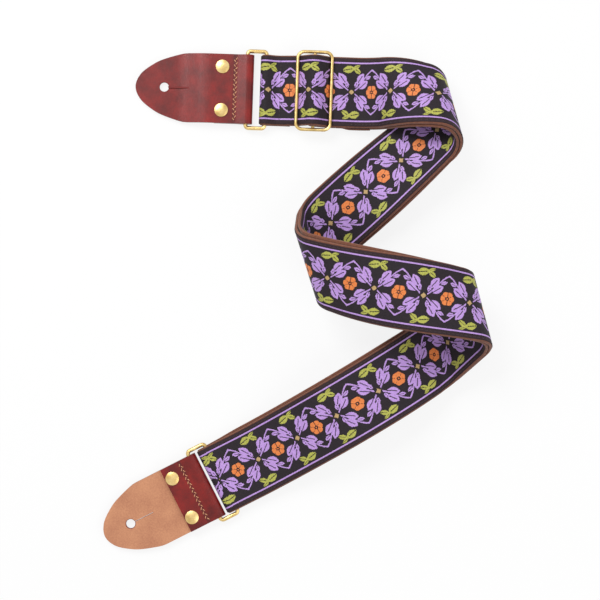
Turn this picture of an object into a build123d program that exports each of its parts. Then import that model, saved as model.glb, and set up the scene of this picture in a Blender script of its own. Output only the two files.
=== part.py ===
"""Two-inch woven guitar strap with leather ends, lying in three loose turns on a floor.

One webbing makes the whole strap. It starts in a sewn loop round the slider's centre bar, runs
the full length as the back ply, goes round ring B, comes back as the front ply, passes over the
slider's centre bar and ends in a sewn loop round ring A. Millimetres, +Z up.
"""

import math
import os

from build123d import *

os.makedirs("parts", exist_ok=True)

# Webbing: a brown woven backing with a patterned ribbon sewn on its outer face.
STRAP_WIDTH = 49.5
BACKING = 2.0
RIBBON = 0.6
RIBBON_WIDTH = 47.6
SEWN_ON = 0.03
PLY = BACKING + RIBBON
PLY_GAP = 0.6
FIT = 0.05
APART = 0.3
FLOOR_GAP = 0.1

# Brass wire rings that join the webbing to the leather ends.
WIRE_RADIUS = 1.4
RING_LONG = 54.0
RING_SHORT = 13.4
RING_CORNER = 2.2

# Slider: an outer frame of brass wire with a centre bar.
SLIDER_LONG = 54.3
SLIDER_SHORT = 24.0
SLIDER_WIRE = 1.2
SLIDER_CORNER = 4.6

# Leather ends, each folded round its ring and held by two rivets and a line of thread.
LEATHER = 2.3
END_WIDTH = 48.5
END_LENGTH = 83.0
FLAP_LENGTH = 27.0
HOLE_RADIUS = 3.25
HOLE_FROM_TIP = 20.2
SLIT_WIDTH = 0.25
SLIT_LENGTH = 14.5
RIVET_FROM_FOLD = 22.0
RIVET_SPACING = 30.5
CAP_RADIUS = 4.7
CAP_RIM = 0.8
CAP_DOME = 0.8
POST_RADIUS = 1.6
THREAD_FROM_FOLD = 12.8
TIP_DROP = 3.6
THREAD_RADIUS = 0.35
STITCH_PITCH = 3.4

# Places along the first run, whose middle line is turned slightly about the slider's centre.
SLIDER_X = 9.8
RUN_Y = 146.3
RUN_HEADING = -2.0
RING_A_X = -24.2
ADJUSTER_CUT = -14.0
PLIES_X = 26.0
TAIL_END_X = -6.4
SEWN_END = 24.0

# Heights of the layers under and in the slider.
BACK_Z = FLOOR_GAP + PLY / 2
SEWN_Z = BACK_Z + PLY + APART
FRONT_Z = SEWN_Z + PLY + APART
BAR_CLEAR = 0.4
SLIDER_Z = FRONT_Z + PLY / 2 + BAR_CLEAR + SLIDER_WIRE
WIDE_GAP = FRONT_Z - BACK_Z - PLY
RING_Z = FLOOR_GAP + WIRE_RADIUS + FIT + PLY
LOOP_GAP = 2 * (WIRE_RADIUS + FIT)

# Slack: the leather's loop past each ring's bar, and ring B's bar back inside the webbing's loop.
LEATHER_SLACK = 1.0
LOOP_SLACK = 3.1
FOLD = WIRE_RADIUS + FIT + LEATHER + LEATHER_SLACK


class Lay:
    """Walks the strap's middle surface and keeps a stop at each step.

    A stop holds the place, the direction along the strap, the direction out of the front face,
    the skew of the straight line across the strap there, and the distance walked so far.
    """

    def __init__(self, place, heading):
        self.place = place
        self.along = Vector(1, 0, 0).rotate(Axis.Z, heading)
        self.out = Vector(0, 0, 1)
        self.walked = 0.0
        self.stops = []
        self.cuts = []

    def stop(self, skew):
        """Keeps a stop where the walk has come to, unless one is there already."""
        if self.stops and self.walked - self.stops[-1][4] < 1e-6:
            self.stops.pop()
        across = self.out.cross(self.along)
        slant = across + self.along * math.tan(math.radians(skew))
        self.stops.append((self.place, self.along, self.out, slant, self.walked))

    def turn_frame(self, direction, angle):
        """Turns the frame about a direction through the place it has come to."""
        spin = Axis((0, 0, 0), direction)
        self.along = self.along.rotate(spin, angle)
        self.out = self.out.rotate(spin, angle)

    def cut(self):
        """Marks the last stop as a place where the plies are cut into lengths."""
        self.cuts.append(len(self.stops) - 1)

    def run(self, length, bend=0.0, twist=0.0, sway=0.0, skew=(0.0, 0.0), steps=1):
        """A run that bends, twists and sways evenly, while the skew changes between its values."""
        low, high = (math.tan(math.radians(angle)) for angle in skew)
        for step in range(steps + 1):
            share = step / steps
            self.stop(math.degrees(math.atan(low + (high - low) * share)))
            if step == steps:
                return
            across = self.out.cross(self.along)
            self.turn_frame(across, bend / steps / 2)
            self.place = self.place + self.along * (length / steps)
            self.walked += length / steps
            self.turn_frame(self.out.cross(self.along), bend / steps / 2)
            self.turn_frame(self.along, twist / steps)
            self.turn_frame(self.out, sway / steps)

    def curl(self, radius, angle, skew, steps=8):
        """A turn round a cylinder whose axis lies along the skewed line across the strap."""
        slope = math.radians(skew)
        across = self.out.cross(self.along)
        axis = across * math.cos(slope) + self.along * math.sin(slope)
        centre = self.place - self.out * radius
        arm = self.out * radius
        start = (self.along, self.out, self.walked)
        for step in range(steps + 1):
            swept = angle * step / steps
            arc = radius * math.radians(swept)
            spin = Axis((0, 0, 0), axis)
            self.place = centre + arm.rotate(spin, swept) + axis * (arc * math.tan(slope))
            self.along = start[0].rotate(spin, swept)
            self.out = start[1].rotate(spin, swept)
            self.walked = start[2] + arc / math.cos(slope)
            self.stop(skew)


def run_frame():
    """Frame of the first run: X along it, turned about the slider's centre."""
    return Pos(SLIDER_X, RUN_Y, 0) * Rot(0, 0, RUN_HEADING) * Pos(-SLIDER_X, 0, 0)


def strap_lay():
    """The strap's middle surface from the slider to ring B: four runs and three turns."""
    start = run_frame() * Pos(PLIES_X, 0, SEWN_Z)
    lay = Lay(start.position, RUN_HEADING)
    first, second, third = -23.6, -24.4, -19.9
    lay.run(14, steps=3)
    lay.run(20, bend=-47.3, steps=4)
    lay.run(39.1, bend=43.5, twist=-33.2, skew=(0, first), steps=8)
    lay.curl(11, 54.7, first, steps=4)
    lay.run(1, skew=(first, first))
    lay.curl(11, 102.4, first, steps=7)
    lay.run(53.4, bend=-3.1, twist=-22, skew=(first, (first + second) / 2), steps=6)
    lay.cut()
    lay.run(53.5, bend=-3.2, twist=-22, skew=((first + second) / 2, second), steps=6)
    lay.curl(14.2, 74.1, second)
    lay.run(12.9, skew=(second, second))
    lay.curl(14.2, 68.9, second)
    lay.run(53.3, bend=26.5, twist=-23.5, skew=(second, (second + third) / 2), steps=6)
    lay.cut()
    lay.run(53.4, bend=26.6, twist=-23.6, skew=((second + third) / 2, third), steps=6)
    lay.curl(12.7, 108.4, third, steps=10)
    lay.run(27.5, skew=(third, third))
    lay.curl(12.7, 73.3, third)
    lay.run(99.5, bend=-53.6, twist=2, skew=(third, 0), steps=10)
    lay.run(76.8, bend=21.5, sway=3.9, steps=8)
    return lay


def ease(share):
    """Smooth step from 0 to 1."""
    share = min(max(share, 0.0), 1.0)
    return share * share * (3 - 2 * share)


def gap_at(walked, total):
    """Gap between the plies: wide over the sewn end and at ring B, narrow between."""
    start = 1 - ease((walked - SEWN_END) / 12)
    end = 1 - ease((total - walked - LOOP_SLACK) / 14)
    return PLY_GAP + (WIDE_GAP - PLY_GAP) * start + (LOOP_GAP - PLY_GAP) * end


def sheet(stops, width, low, high):
    """Solid of a band along the stops; low and high give its faces' distances at a stop."""
    sections = []
    for stop in stops:
        place, _, out, slant, _ = stop
        corners = [(-1, low(stop)), (1, low(stop)), (1, high(stop)), (-1, high(stop))]
        points = [place + slant * (side * width / 2) + out * far for side, far in corners]
        sections.append(Wire.make_polygon(points, close=True))
    return Solid.make_loft(sections, ruled=False)


def layers(stops, side, total):
    """Backing and ribbon of one ply: side is 1 for the front ply and -1 for the back ply."""

    def face(depth):
        return lambda stop: side * (gap_at(stop[4], total) / 2 + depth)

    inner, middle, sewn, outer = face(0.0), face(BACKING), face(BACKING + SEWN_ON), face(PLY)
    if side > 0:
        return sheet(stops, STRAP_WIDTH, inner, middle), sheet(stops, RIBBON_WIDTH, sewn, outer)
    return sheet(stops, STRAP_WIDTH, middle, inner), sheet(stops, RIBBON_WIDTH, outer, sewn)


def route(pegs, shift):
    """Edges of a line pulled round pegs in the XZ plane, moved to its left by shift.

    A peg is (x, z, k): the line passes its centre at k to the left of the centre, seen along
    the line, so k is positive where the line turns right and negative where it turns left.
    """
    directions = []
    for (x0, z0, k0), (x1, z1, k1) in zip(pegs, pegs[1:]):
        span = math.hypot(x1 - x0, z1 - z0)
        heading = math.atan2(z1 - z0, x1 - x0)
        directions.append(heading - math.asin((k0 - k1) / span))
    ends = [directions[0]] + directions + [directions[-1]]

    def at(peg, heading):
        x, z, k = peg
        k = k + shift
        return Vector(x - k * math.sin(heading), 0, z + k * math.cos(heading))

    edges = []
    here = at(pegs[0], directions[0])
    for peg, heading, leaving in zip(pegs[1:], directions, ends[2:]):
        arrival = at(peg, heading)
        edges.append(Edge.make_line(here, arrival))
        here = at(peg, leaving)
        swing = (leaving - heading + math.pi) % (2 * math.pi) - math.pi
        if peg[2] > 0 and swing > 1e-6:
            swing -= 2 * math.pi
        if peg[2] < 0 and swing < -1e-6:
            swing += 2 * math.pi
        if abs(swing) > 1e-6 and peg[2] != 0:
            middle = at(peg, heading + swing / 2)
            edges.append(Edge.make_three_point_arc(arrival, middle, here))
    return edges


def band(pegs, width, low, high):
    """Solid of a strip pulled round pegs, between two offsets from its line, centred on Y."""
    bottom = route(pegs, low)
    top = route(pegs, high)
    start = Edge.make_line(bottom[0].position_at(0), top[0].position_at(0))
    end = Edge.make_line(bottom[-1].position_at(1), top[-1].position_at(1))
    outline = Wire(bottom + [end] + top + [start])
    face = Face(outline)
    return extrude(Pos(0, -width / 2, 0) * face, amount=width, dir=(0, 1, 0))


def webbing_band(pegs):
    """Backing and ribbon of a strip whose outer face is on the left of its line."""
    edge = PLY / 2 - RIBBON
    return band(pegs, STRAP_WIDTH, -PLY / 2, edge), band(pegs, RIBBON_WIDTH, edge, PLY / 2)


def ring(long_side, short_side, corner, wire_radius):
    """Rounded rectangle of wire in the XY plane, long side along Y."""
    path = RectangleRounded(short_side, long_side, corner).face().outer_wire()
    start = Plane(origin=path.position_at(0), z_dir=path.tangent_at(0))
    return sweep(start * Circle(wire_radius), path=path)


def adjuster_pegs():
    """Line of the webbing from the folded tail, round ring A and over the slider's bar."""
    mid = WIRE_RADIUS + FIT + PLY / 2
    lap = 10.0
    flat_z = BACK_Z + PLY + 0.1
    hump = SLIDER_WIRE + FIT + PLY + APART + PLY / 2
    bar = SLIDER_WIRE + BAR_CLEAR + PLY / 2
    return [
        (TAIL_END_X, BACK_Z, 0.0),
        (RING_A_X, RING_Z, mid),
        (RING_A_X + 9.0, flat_z + lap, -lap),
        (SLIDER_X - SLIDER_SHORT / 2, SLIDER_Z, -bar),
        (SLIDER_X, SLIDER_Z, hump),
        (SLIDER_X + SLIDER_SHORT / 2, SLIDER_Z, -bar),
        (PLIES_X, FRONT_Z, 0.0),
    ]


def slider_loop_pegs():
    """Line of the back ply's end round the slider's centre bar, back between the plies."""
    under = SLIDER_Z - BACK_Z
    over = SLIDER_Z - SEWN_Z
    far = SLIDER_X + SLIDER_SHORT / 2
    return [
        (PLIES_X - APART, BACK_Z, 0.0),
        (far, SLIDER_Z, under),
        (SLIDER_X, SLIDER_Z, SLIDER_WIRE + FIT + PLY / 2),
        (far, SLIDER_Z, -over),
        (PLIES_X, SEWN_Z, 0.0),
    ]


def ring_b_pegs():
    """Line of the webbing from the back ply round ring B's bar to the front ply."""
    mid = WIRE_RADIUS + FIT + PLY / 2
    return [(-2.0, mid, 0.0), (0.0, 0.0, mid), (-2.0, -mid, 0.0)]


def end_outline():
    """Plan of a leather end: parallel sides and a long rounded tip. The ring's bar is at X 0."""
    half = END_WIDTH / 2
    tip = FOLD - END_LENGTH
    side = [(tip + 36.0, half), (tip + 29.0, 22.8), (tip + 17.6, 18.9), (tip + 10.2, 14.6)]
    side = side + [(tip + 4.4, 9.9), (tip + 1.2, 5.0), (tip, 0.0)]
    mirror = [(x, -y) for x, y in reversed(side[:-1])]
    curve = Edge.make_spline(
        [Vector(x, y) for x, y in side + mirror],
        tangents=[Vector(-1, 0), Vector(1, 0)],
    )
    fold = 12.0
    corners = [(tip + 36.0, -half), (fold, -half), (fold, half), (tip + 36.0, half)]
    lines = [Edge.make_line(a, b) for a, b in zip(corners, corners[1:])]
    return Face(Wire([curve] + lines))


def end_pegs(drop):
    """Line of the leather from the tip, round the ring's bar and back as the short flap.

    The tip hangs below the lapped part by drop, in a gentle step past the flap.
    """
    bar = WIRE_RADIUS + FIT + LEATHER / 2
    lap = LEATHER / 2 + 0.02
    tip = FOLD - END_LENGTH
    flap = FOLD - FLAP_LENGTH
    step = 30.0
    pegs = [(tip, lap - drop, 0.0)]
    if drop > 0:
        pegs += [(flap - 26.0, lap - drop + step, -step), (flap - 4.0, lap - step, step)]
    pegs += [(-7.0, lap + 5.0, -5.0), (0.0, 0.0, bar), (LEATHER_SLACK, 0.0, bar)]
    pegs += [(0.0, 0.0, bar), (-7.0, -lap - 5.0, -5.0), (flap, -lap, 0.0)]
    return pegs


def leather_end(drop):
    """Leather end with its ring bar on the Y axis at the origin, tip towards -X, grain up."""
    body = band(end_pegs(drop), END_WIDTH, -LEATHER / 2, LEATHER / 2)
    plan = extrude(Pos(0, 0, -20) * end_outline(), amount=40, dir=(0, 0, 1))
    tip = FOLD - END_LENGTH
    hole = Pos(tip + HOLE_FROM_TIP, 0, 0) * Cylinder(HOLE_RADIUS, 40)
    slit_x = tip + HOLE_FROM_TIP + HOLE_RADIUS - 0.2 + SLIT_LENGTH / 2
    slit = Pos(slit_x, 0, 0) * Box(SLIT_LENGTH, SLIT_WIDTH, 40)
    leather = (body & plan) - hole - slit
    for y in (-RIVET_SPACING / 2, RIVET_SPACING / 2):
        leather -= Pos(rivet_x(), y, 0) * Cylinder(POST_RADIUS + FIT, 12)
    return leather


def rivet_x():
    """Distance of the rivets from the ring's bar."""
    return FOLD - RIVET_FROM_FOLD


def rivet_cap(post_length):
    """Domed cap with its post, standing on Z 0; the post points down."""
    rim = Pos(0, 0, CAP_RIM / 2) * Cylinder(CAP_RADIUS, CAP_RIM)
    sphere = (CAP_RADIUS**2 + CAP_DOME**2) / (2 * CAP_DOME)
    ball = Pos(0, 0, CAP_RIM + CAP_DOME - sphere) * Sphere(sphere)
    dome = ball & (Pos(0, 0, CAP_RIM + CAP_DOME / 2) * Cylinder(CAP_RADIUS, CAP_DOME))
    post = Pos(0, 0, -post_length / 2) * Cylinder(POST_RADIUS, post_length)
    return rim + dome + post


def end_pieces(name, drop):
    """All pieces of one leather end, in the frame of its ring's outer bar."""
    face = LEATHER + 0.02
    pieces = {"leather_" + name: leather_end(drop)}
    for number, y in ((1, RIVET_SPACING / 2), (2, -RIVET_SPACING / 2)):
        front = Pos(rivet_x(), y, face) * rivet_cap(face - 0.1)
        back = Pos(rivet_x(), y, -face) * Rot(180, 0, 0) * rivet_cap(face - 0.1)
        pieces[f"rivet_{name}_{number}_front"] = front
        pieces[f"rivet_{name}_{number}_back"] = back
    pieces["thread_" + name] = stitch_row(
        FOLD - THREAD_FROM_FOLD, END_WIDTH - 3.0, face + 0.02, -face - 0.02
    )
    return pieces


def stitch_row(x, length, top, bottom):
    """Row of stitches across the strap at x, showing on a top and a bottom face."""
    count = int(length / STITCH_PITCH)
    bar = STITCH_PITCH * 0.72
    row = []
    for index in range(count):
        y = (index - (count - 1) / 2) * STITCH_PITCH
        for z in (top + THREAD_RADIUS, bottom - THREAD_RADIUS):
            row.append(Pos(x, y, z) * Rot(90, 0, 0) * Cylinder(THREAD_RADIUS, bar))
    return Compound(row)


def main():
    """Builds every piece, moves the origin under the middle of the whole and writes the files."""
    lay = strap_lay()
    total = lay.walked
    pieces = {}
    # Each ply is cut in the middle of its second and third runs, one length for each turn.
    for number, (first, last) in enumerate(zip([0] + lay.cuts, lay.cuts + [None]), start=1):
        stops = lay.stops[first : last and last + 1]
        for ply, side in (("front", 1), ("back", -1)):
            backing, ribbon = layers(stops, side, total)
            pieces[f"webbing_{ply}_{number}"] = backing
            pieces[f"ribbon_{ply}_{number}"] = ribbon

    # The sewn end lies between the plies along the first stops.
    inside = [stop for stop in lay.stops if stop[4] <= SEWN_END + 1e-6]
    pieces["webbing_sewn_end"] = sheet(
        inside, STRAP_WIDTH, lambda stop: -PLY / 2, lambda stop: PLY / 2 - RIBBON
    )
    pieces["ribbon_sewn_end"] = sheet(
        inside, RIBBON_WIDTH, lambda stop: PLY / 2 - RIBBON + SEWN_ON, lambda stop: PLY / 2
    )

    # Round ring A and over the slider; what lies above the folded tail is the adjuster run.
    run = run_frame()
    above = Pos(ADJUSTER_CUT + 50, 0, FLOOR_GAP + PLY + 20.05) * Box(100, 100, 40)
    for name, solid in zip(("webbing", "ribbon"), webbing_band(adjuster_pegs())):
        pieces[name + "_adjuster"] = run * (solid & above)
        pieces[name + "_loop_a"] = run * (solid - above)
    for name, solid in zip(("webbing", "ribbon"), webbing_band(slider_loop_pegs())):
        pieces[name + "_slider_loop"] = run * solid

    slider_place = run * Pos(SLIDER_X, 0, SLIDER_Z)
    pieces["slider_frame"] = slider_place * ring(
        SLIDER_LONG, SLIDER_SHORT, SLIDER_CORNER, SLIDER_WIRE
    )
    bar = Cylinder(SLIDER_WIRE, SLIDER_LONG - 2 * SLIDER_WIRE)
    pieces["slider_bar"] = slider_place * Rot(90, 0, 0) * bar

    ring_solid = ring(RING_LONG, RING_SHORT, RING_CORNER, WIRE_RADIUS)
    pieces["ring_a"] = run * Pos(RING_A_X - RING_SHORT / 2, 0, RING_Z) * ring_solid
    end_a = run * Pos(RING_A_X - RING_SHORT, 0, RING_Z)
    for name, solid in end_pieces("a", TIP_DROP).items():
        pieces[name] = end_a * solid

    # Ring B and its leather end sit at the end of the lay, turned over.
    place, along, out, _, _ = lay.stops[-1]
    tail = Plane(origin=place + along * 2.0, x_dir=along, z_dir=out * -1)
    for name, solid in zip(("webbing", "ribbon"), webbing_band(ring_b_pegs())):
        pieces[name + "_loop_b"] = tail.location * solid
    ring_b = tail.location * Pos(-LOOP_SLACK, 0, 0)
    pieces["ring_b"] = ring_b * Pos(RING_SHORT / 2, 0, 0) * ring_solid
    end_b = ring_b * Pos(RING_SHORT, 0, 0) * Rot(180, 0, 180)
    for name, solid in end_pieces("b", 0.0).items():
        pieces[name] = end_b * solid

    box = Compound(list(pieces.values())).bounding_box()
    shift = Pos(-box.center().X, -box.center().Y, -box.min.Z)
    print("size", box.size, "strap length", round(total, 1))
    print("strap's end", place, along, out)
    for name, where in (("end_a", end_a), ("end_b", end_b), ("slider", slider_place)):
        x_side, z_side = Plane(shift * where).x_dir, Plane(shift * where).z_dir
        spot = (shift * where).position
        print(name, *(f"{s}={v:.6f}" for side in (spot, x_side, z_side) for s, v in zip("XYZ", side)))
    for name, solid in pieces.items():
        export_step(shift * solid, f"parts/{name}.step")


main()
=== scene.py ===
"""Guitar strap of two-inch jacquard webbing, lying in loose turns, with brass and leather ends."""

import math

import bmesh
import bpy
from mathutils import Matrix, Vector


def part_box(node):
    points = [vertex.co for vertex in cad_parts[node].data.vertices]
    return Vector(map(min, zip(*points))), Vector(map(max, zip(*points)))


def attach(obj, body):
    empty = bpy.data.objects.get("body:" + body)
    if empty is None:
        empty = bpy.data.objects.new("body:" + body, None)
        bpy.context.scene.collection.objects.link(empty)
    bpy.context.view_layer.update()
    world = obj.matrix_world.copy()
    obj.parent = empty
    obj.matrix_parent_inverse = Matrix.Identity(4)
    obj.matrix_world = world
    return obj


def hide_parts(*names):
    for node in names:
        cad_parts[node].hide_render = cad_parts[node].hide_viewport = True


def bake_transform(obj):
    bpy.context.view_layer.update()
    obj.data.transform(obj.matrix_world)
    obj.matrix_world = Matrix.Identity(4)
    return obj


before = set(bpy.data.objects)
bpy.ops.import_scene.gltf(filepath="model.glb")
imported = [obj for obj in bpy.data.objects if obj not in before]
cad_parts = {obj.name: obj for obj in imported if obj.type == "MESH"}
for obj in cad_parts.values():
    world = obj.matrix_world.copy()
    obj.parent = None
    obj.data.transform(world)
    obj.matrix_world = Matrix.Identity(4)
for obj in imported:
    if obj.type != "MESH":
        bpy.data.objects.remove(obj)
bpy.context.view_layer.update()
MM = 0.001

# Sizes of the strap, in millimetres, as in the part.
STRAP_WIDTH, BACKING, RIBBON, RIBBON_WIDTH = 49.5, 2.0, 0.6, 47.6
PLY, PLY_GAP, APART, FIT, FLOOR_GAP = 2.6, 0.6, 0.3, 0.05, 0.1
WIRE_RADIUS, RING_SHORT = 1.4, 13.4
SLIDER_SHORT, SLIDER_WIRE = 24.0, 1.2
LEATHER, END_WIDTH, END_LENGTH, FLAP_LENGTH = 2.3, 48.5, 83.0, 27.0
HOLE_RADIUS, HOLE_FROM_TIP, SLIT_LENGTH = 3.25, 20.2, 14.5
THREAD_FROM_FOLD, STITCH_PITCH, TIP_DROP = 12.8, 3.4, 3.6
SLIDER_X, RUN_Y, RUN_HEADING = 9.8, 146.3, -2.0
RING_A_X, PLIES_X, TAIL_END_X, SEWN_END = -24.2, 26.0, -6.4, 24.0
BACK_Z = FLOOR_GAP + PLY / 2
SEWN_Z = BACK_Z + PLY + APART
FRONT_Z = SEWN_Z + PLY + APART
BAR_CLEAR, TAIL_GAP = 0.4, 0.1
SLIDER_Z = FRONT_Z + PLY / 2 + BAR_CLEAR + SLIDER_WIRE
WIDE_GAP = FRONT_Z - BACK_Z - PLY
RING_Z = FLOOR_GAP + WIRE_RADIUS + FIT + PLY
LOOP_GAP = 2 * (WIRE_RADIUS + FIT)
LEATHER_SLACK, LOOP_SLACK = 1.0, 3.1
FOLD = WIRE_RADIUS + FIT + LEATHER + LEATHER_SLACK
LAP_CLEAR = 0.02
RIBBON_SUNK, CLOTH_COLUMNS = 0.1, 26

# From the lay's own coordinates to the frame's: the slider's middle bar is the same in both.
bar_low, bar_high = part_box("slider_bar")
SHIFT = (Vector(bar_low) + Vector(bar_high)) / 2 / MM - Vector((SLIDER_X, RUN_Y, SLIDER_Z))


# The lay of the strap ------------------------------------------------------------------------


class Stop:
    """Place on a strip: where it is, along it, out of its face, its skew and its length so far."""

    def __init__(self, place, along, out, slope, walked):
        self.place, self.along, self.out = place, along, out
        self.slope, self.walked = slope, walked

    def point(self, across, far):
        """Point at a distance across the strip and a distance out of its middle surface."""
        side = self.out.cross(self.along)
        return self.place + (side + self.along * self.slope) * across + self.out * far


class Lay:
    """Walks the strap's middle surface, as the part does."""

    def __init__(self, place, heading):
        self.place = place
        self.along = Matrix.Rotation(math.radians(heading), 3, "Z") @ Vector((1, 0, 0))
        self.out = Vector((0, 0, 1))
        self.walked = 0.0
        self.stops = []

    def stop(self, slope):
        if self.stops and self.walked - self.stops[-1].walked < 1e-6:
            self.stops.pop()
        self.stops.append(
            Stop(self.place.copy(), self.along.copy(), self.out.copy(), slope, self.walked)
        )

    def turn_frame(self, direction, angle):
        spin = Matrix.Rotation(math.radians(angle), 3, direction)
        self.along = spin @ self.along
        self.out = spin @ self.out

    def run(self, length, bend=0.0, twist_relief_and_painted_shade=0.0, sway=0.0, skew=(0.0, 0.0), steps=1):
        """A run that bends, twists and sways evenly, while the skew changes."""
        start, end = (math.tan(math.radians(angle)) for angle in skew)
        for step in range(steps + 1):
            self.stop(start + (end - start) * step / steps)
            if step == steps:
                return
            self.turn_frame(self.out.cross(self.along), bend / steps / 2)
            self.place = self.place + self.along * (length / steps)
            self.walked += length / steps
            self.turn_frame(self.out.cross(self.along), bend / steps / 2)
            self.turn_frame(self.along.copy(), twist_relief_and_painted_shade / steps)
            self.turn_frame(self.out.copy(), sway / steps)

    def curl(self, radius, angle, skew, steps=8):
        """A turn round a cylinder whose axis lies along the skewed line across the strap."""
        slope = math.radians(skew)
        across = self.out.cross(self.along)
        axis = across * math.cos(slope) + self.along * math.sin(slope)
        centre = self.place - self.out * radius
        along, out, walked = self.along.copy(), self.out.copy(), self.walked
        for step in range(steps + 1):
            swept = math.radians(angle * step / steps)
            spin = Matrix.Rotation(swept, 3, axis)
            arc = radius * swept
            self.place = centre + spin @ (out * radius) + axis * (arc * math.tan(slope))
            self.along = spin @ along
            self.out = spin @ out
            self.walked = walked + arc / math.cos(slope)
            self.stop(math.tan(slope))


RUN = (
    Matrix.Translation((SLIDER_X, RUN_Y, 0))
    @ Matrix.Rotation(math.radians(RUN_HEADING), 4, "Z")
    @ Matrix.Translation((-SLIDER_X, 0, 0))
)


def strap_lay():
    """The strap's middle surface from the slider to ring B: four runs and three turns."""
    lay = Lay(RUN @ Vector((PLIES_X, 0, SEWN_Z)), RUN_HEADING)
    first, second, third = -23.6, -24.4, -19.9
    half_way, late = (first + second) / 2, (second + third) / 2
    lay.run(14, steps=3)
    lay.run(20, bend=-47.3, steps=4)
    lay.run(39.1, bend=43.5, twist_relief_and_painted_shade=-33.2, skew=(0, first), steps=8)
    lay.curl(11, 54.7, first, steps=4)
    lay.run(1, skew=(first, first))
    lay.curl(11, 102.4, first, steps=7)
    lay.run(53.4, bend=-3.1, twist_relief_and_painted_shade=-22, skew=(first, half_way), steps=6)
    lay.run(53.5, bend=-3.2, twist_relief_and_painted_shade=-22, skew=(half_way, second), steps=6)
    lay.curl(14.2, 74.1, second)
    lay.run(12.9, skew=(second, second))
    lay.curl(14.2, 68.9, second)
    lay.run(53.3, bend=26.5, twist_relief_and_painted_shade=-23.5, skew=(second, late), steps=6)
    lay.run(53.4, bend=26.6, twist_relief_and_painted_shade=-23.6, skew=(late, third), steps=6)
    lay.curl(12.7, 108.4, third, steps=10)
    lay.run(27.5, skew=(third, third))
    lay.curl(12.7, 73.3, third)
    lay.run(99.5, bend=-53.6, twist_relief_and_painted_shade=2, skew=(third, 0), steps=10)
    lay.run(76.8, bend=21.5, sway=3.9, steps=8)
    return lay.stops


def finer(stops, spacing):
    """The same surface with stops close together, on a smooth curve through the given ones."""
    result = []
    for a, b in zip(stops, stops[1:]):
        reach = b.walked - a.walked
        count = max(1, math.ceil(reach / spacing))
        for index in range(count):
            t = index / count
            h0, h1 = 2 * t**3 - 3 * t**2 + 1, t**3 - 2 * t**2 + t
            h2, h3 = -2 * t**3 + 3 * t**2, t**3 - t**2
            place = a.place * h0 + a.along * (reach * h1) + b.place * h2 + b.along * (reach * h3)
            along = a.along.lerp(b.along, t).normalized()
            out = a.out.lerp(b.out, t)
            out = (out - along * out.dot(along)).normalized()
            slope = a.slope + (b.slope - a.slope) * t
            result.append(Stop(place, along, out, slope, a.walked + reach * t))
    return result + [stops[-1]]


def pulled_line(pegs, matrix, spacing=2.5):
    """Stops on a line pulled round pegs (x, z, k) in the XZ plane of a frame.

    The line passes a peg's centre at k to its left, so it turns right where k is positive.
    """
    headings = []
    for (x0, z0, k0), (x1, z1, k1) in zip(pegs, pegs[1:]):
        span = math.hypot(x1 - x0, z1 - z0)
        headings.append(math.atan2(z1 - z0, x1 - x0) - math.asin((k0 - k1) / span))
    headings = [headings[0]] + headings + [headings[-1]]
    turned = matrix.to_3x3()
    stops = []
    walked = 0.0

    def add(x, z, k, heading):
        nonlocal walked
        place = matrix @ Vector((x - k * math.sin(heading), 0, z + k * math.cos(heading)))
        if stops:
            step = (place - stops[-1].place).length
            if step < 1e-4:
                return
            walked += step
        along = turned @ Vector((math.cos(heading), 0, math.sin(heading)))
        out = turned @ Vector((-math.sin(heading), 0, math.cos(heading)))
        stops.append(Stop(place, along, out, 0.0, walked))

    for (x, z, k), arriving, leaving in zip(pegs, headings, headings[1:]):
        swing = (leaving - arriving + math.pi) % (2 * math.pi) - math.pi
        if k > 0 and swing > 1e-6:
            swing -= 2 * math.pi
        if k < 0 and swing < -1e-6:
            swing += 2 * math.pi
        if stops:
            start = matrix.inverted() @ stops[-1].place
            end = Vector((x - k * math.sin(arriving), 0, z + k * math.cos(arriving)))
            count = max(1, math.ceil((end - start).length / spacing))
            for index in range(1, count):
                at = start.lerp(end, index / count)
                add(at.x, at.z, 0.0, arriving)
        count = max(1, math.ceil(abs(swing) / 0.22))
        for index in range(count + 1):
            add(x, z, k, arriving + swing * index / count)
    return stops


def ease(share):
    share = min(max(share, 0.0), 1.0)
    return share * share * (3 - 2 * share)


STOPS = strap_lay()
TOTAL = STOPS[-1].walked
FINE = finer(STOPS, 1.8)


def half_gap(walked):
    """Half the gap between the plies: wide over the sewn end and at ring B, narrow between."""
    start = 1 - ease((walked - SEWN_END) / 12)
    end = 1 - ease((TOTAL - walked - LOOP_SLACK) / 14)
    return (PLY_GAP + (WIDE_GAP - PLY_GAP) * start + (LOOP_GAP - PLY_GAP) * end) / 2


# Meshes --------------------------------------------------------------------------------------


def add_object(name, mesh):
    piece = bpy.data.objects.new(name, mesh)
    bpy.context.scene.collection.objects.link(piece)
    return piece


def settle(name, piece):
    """Turns a piece's modifiers into its plain mesh."""
    bpy.context.view_layer.update()
    graph = bpy.context.evaluated_depsgraph_get()
    mesh = bpy.data.meshes.new_from_object(piece.evaluated_get(graph), depsgraph=graph)
    mesh.name = name
    piece.modifiers.clear()
    piece.data = mesh
    return piece


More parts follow.
